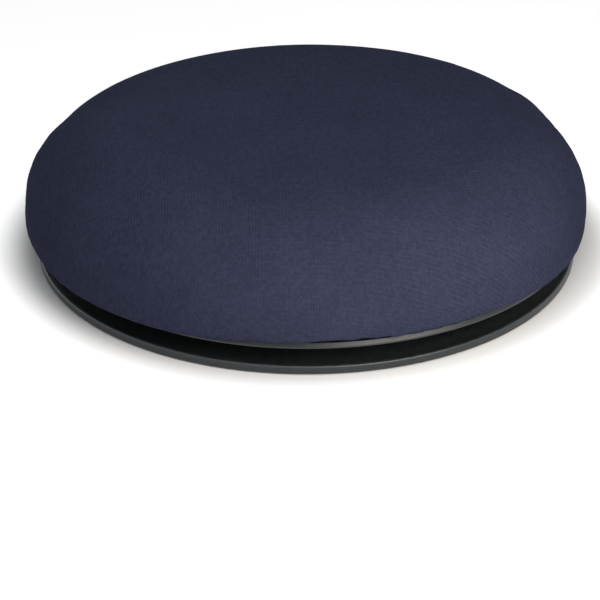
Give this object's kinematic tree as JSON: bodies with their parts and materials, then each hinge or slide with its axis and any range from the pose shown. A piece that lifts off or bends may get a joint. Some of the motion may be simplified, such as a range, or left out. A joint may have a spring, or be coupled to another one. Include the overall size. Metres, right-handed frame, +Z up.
{
  "type": "swivel seat cushion",
  "caption": "Round padded swivel cushion: covered foam ring on two dished plastic discs that turn on a ball race about a central pivot.",
  "frame": {"origin": "on the floor, under the pivot at the centre of the base disc", "axes": "+Z up along the swivel axis; the cushion is round, so +X and +Y are free choices in the plane of the floor"},
  "size_m": [0.4, 0.4, 0.0949],
  "materials": {
    "disc_plastic": "satin",
    "cage_plastic": "satin",
    "slide_nylon": "satin",
    "pad_rubber": "matte",
    "elastic_rubber": "matte",
    "pivot_steel": "satin",
    "ball_steel": "polished",
    "foam": "matte",
    "cover_knit": "matte"
  },
  "bodies": {
    "base": {"base_disc": "disc_plastic", "grip_pad_1": "pad_rubber", "grip_pad_2": "pad_rubber", "grip_pad_3": "pad_rubber", "grip_pad_4": "pad_rubber", "grip_pad_5": "pad_rubber", "grip_pad_6": "pad_rubber", "slide_washer": "slide_nylon"},
    "cage": {"ball_cage": "cage_plastic", "bearing_ball_01": "ball_steel", "bearing_ball_02": "ball_steel", "bearing_ball_03": "ball_steel", "bearing_ball_04": "ball_steel", "bearing_ball_05": "ball_steel", "bearing_ball_06": "ball_steel", "bearing_ball_07": "ball_steel", "bearing_ball_08": "ball_steel", "bearing_ball_09": "ball_steel", "bearing_ball_10": "ball_steel", "bearing_ball_11": "ball_steel", "bearing_ball_12": "ball_steel", "bearing_ball_13": "ball_steel", "bearing_ball_14": "ball_steel", "bearing_ball_15": "ball_steel", "bearing_ball_16": "ball_steel", "bearing_ball_17": "ball_steel", "bearing_ball_18": "ball_steel", "bearing_ball_19": "ball_steel", "bearing_ball_20": "ball_steel"},
    "seat": {"seat_disc": "disc_plastic", "pivot_bolt": "pivot_steel", "pivot_top_washer": "pivot_steel", "pivot_sleeve": "pivot_steel", "pivot_nut_washer": "pivot_steel", "pivot_nut": "pivot_steel", "foam_ring": "foam", "seat_cover": "cover_knit", "hem_elastic": "elastic_rubber"}
  },
  "joints": [
    {"name": "seat_swivel", "type": "hinge", "parent": "base", "child": "seat", "pos_m": [0, 0, 0.0112], "axis": [0, 0, 1], "continuous": true},
    {"name": "cage_orbit", "type": "hinge", "parent": "base", "child": "cage", "pos_m": [0, 0, 0.0112], "axis": [0, 0, 1], "continuous": true}
  ],
  "couplings": [
    {"joint": "cage_orbit", "follows": "seat_swivel", "ratio": 0.5}
  ]
}
